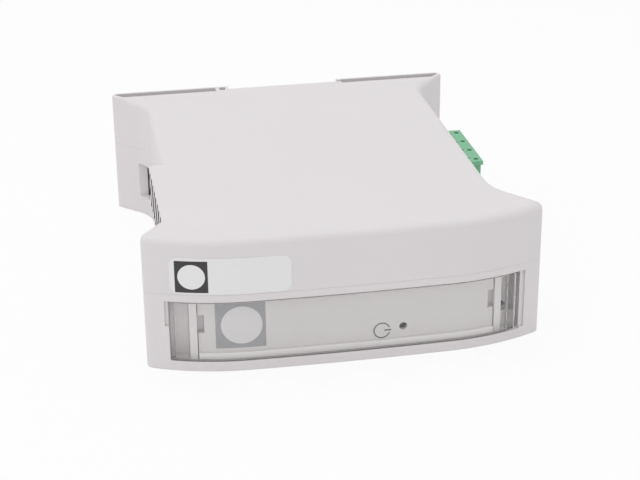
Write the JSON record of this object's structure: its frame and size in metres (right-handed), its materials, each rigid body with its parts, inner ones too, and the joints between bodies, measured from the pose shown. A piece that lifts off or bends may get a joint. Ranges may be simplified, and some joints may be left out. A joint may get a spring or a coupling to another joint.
{
  "type": "soft starter",
  "caption": "Soft starter in a clip-on rail housing: curved front with a clear hinged cover, vented side wall, green pluggable screw terminal and a spring latch.",
  "frame": {"origin": "centre of the bounding box, on the lower side face it lies on", "axes": "+X along the housing's height on the rail, -Y towards the front cover, +Y towards the rail, +Z across the width"},
  "size_m": [0.099, 0.112, 0.035],
  "materials": {
    "shell": "satin",
    "cover_clear": "gloss",
    "panel": "satin",
    "label": "satin",
    "light_guide": "gloss",
    "lamp": "gloss",
    "latch_plastic": "satin",
    "spring_steel": "satin",
    "circuit_board": "satin",
    "link_black": "satin",
    "terminal_green": "satin",
    "tinned_metal": "satin",
    "clamp_steel": "satin",
    "contact_brass": "satin",
    "relay_blue": "satin",
    "thermistor_black": "matte",
    "capacitor_red": "gloss",
    "varistor_blue": "satin",
    "fuse_glass": "gloss",
    "capacitor_sleeve": "gloss",
    "rectifier_black": "matte",
    "ceramic_white": "matte"
  },
  "bodies": {
    "housing": {"base_housing": "shell", "side_hood": "shell", "front_panel": "panel", "number_plate": "label", "light_pipe": "light_guide", "status_lamp": "lamp", "power_board": "circuit_board", "control_board": "circuit_board", "board_link": "link_black", "terminal_header": "terminal_green", "header_pins": "tinned_metal", "bypass_relay": "relay_blue", "inrush_thermistor": "thermistor_black", "film_capacitor": "capacitor_red", "surge_varistor": "varistor_blue", "glass_fuse": "fuse_glass", "fuse_clips": "tinned_metal", "storage_capacitor": "capacitor_sleeve", "bridge_rectifier": "rectifier_black", "ceramic_resistor": "ceramic_white", "controller_chip": "rectifier_black", "latch_spring": "spring_steel"},
    "cover": {"window_cover": "cover_clear"},
    "latch": {"rail_latch": "latch_plastic"},
    "plug": {"terminal_plug": "terminal_green", "plug_contacts": "contact_brass"},
    "screw_1": {"clamp_screw_1": "clamp_steel"},
    "cage_1": {"clamp_cage_1": "clamp_steel"},
    "screw_2": {"clamp_screw_2": "clamp_steel"},
    "cage_2": {"clamp_cage_2": "clamp_steel"},
    "screw_3": {"clamp_screw_3": "clamp_steel"},
    "cage_3": {"clamp_cage_3": "clamp_steel"},
    "screw_4": {"clamp_screw_4": "clamp_steel"},
    "cage_4": {"clamp_cage_4": "clamp_steel"}
  },
  "joints": [
    {"name": "window_open", "type": "hinge", "parent": "housing", "child": "cover", "pos_m": [0.041, -0.05113, 0.0105], "axis": [0, 0, 1], "range_deg": [0, 95]},
    {"name": "latch_slide", "type": "slide", "parent": "housing", "child": "latch", "axis": [-1, 0, 0], "range_m": [0, 0.0025], "stiffness_N_per_m": 1500, "springref_m": -0.004, "deforming": ["latch_spring"]},
    {"name": "plug_pull", "type": "slide", "parent": "housing", "child": "plug", "axis": [1, 0, 0], "range_m": [0, 0.01]},
    {"name": "screw_turn_1", "type": "hinge", "parent": "plug", "child": "screw_1", "pos_m": [0.04352, 0.0027, 0.0245], "axis": [0, 0, 1], "range_deg": [-1800, 0]},
    {"name": "clamp_1", "type": "slide", "parent": "plug", "child": "cage_1", "axis": [0, 0, 1], "range_m": [0, 0.00225]},
    {"name": "screw_turn_2", "type": "hinge", "parent": "plug", "child": "screw_2", "pos_m": [0.04352, 0.0091, 0.0245], "axis": [0, 0, 1], "range_deg": [-1800, 0]},
    {"name": "clamp_2", "type": "slide", "parent": "plug", "child": "cage_2", "axis": [0, 0, 1], "range_m": [0, 0.00225]},
    {"name": "screw_turn_3", "type": "hinge", "parent": "plug", "child": "screw_3", "pos_m": [0.04352, 0.0155, 0.0245], "axis": [0, 0, 1], "range_deg": [-1800, 0]},
    {"name": "clamp_3", "type": "slide", "parent": "plug", "child": "cage_3", "axis": [0, 0, 1], "range_m": [0, 0.00225]},
    {"name": "screw_turn_4", "type": "hinge", "parent": "plug", "child": "screw_4", "pos_m": [0.04352, 0.0219, 0.0245], "axis": [0, 0, 1], "range_deg": [-1800, 0]},
    {"name": "clamp_4", "type": "slide", "parent": "plug", "child": "cage_4", "axis": [0, 0, 1], "range_m": [0, 0.00225]}
  ],
  "couplings": [
    {"joint": "screw_turn_1", "follows": "clamp_1", "rad_per_m": -13962},
    {"joint": "screw_turn_2", "follows": "clamp_2", "rad_per_m": -13962},
    {"joint": "screw_turn_3", "follows": "clamp_3", "rad_per_m": -13962},
    {"joint": "screw_turn_4", "follows": "clamp_4", "rad_per_m": -13962}
  ]
}
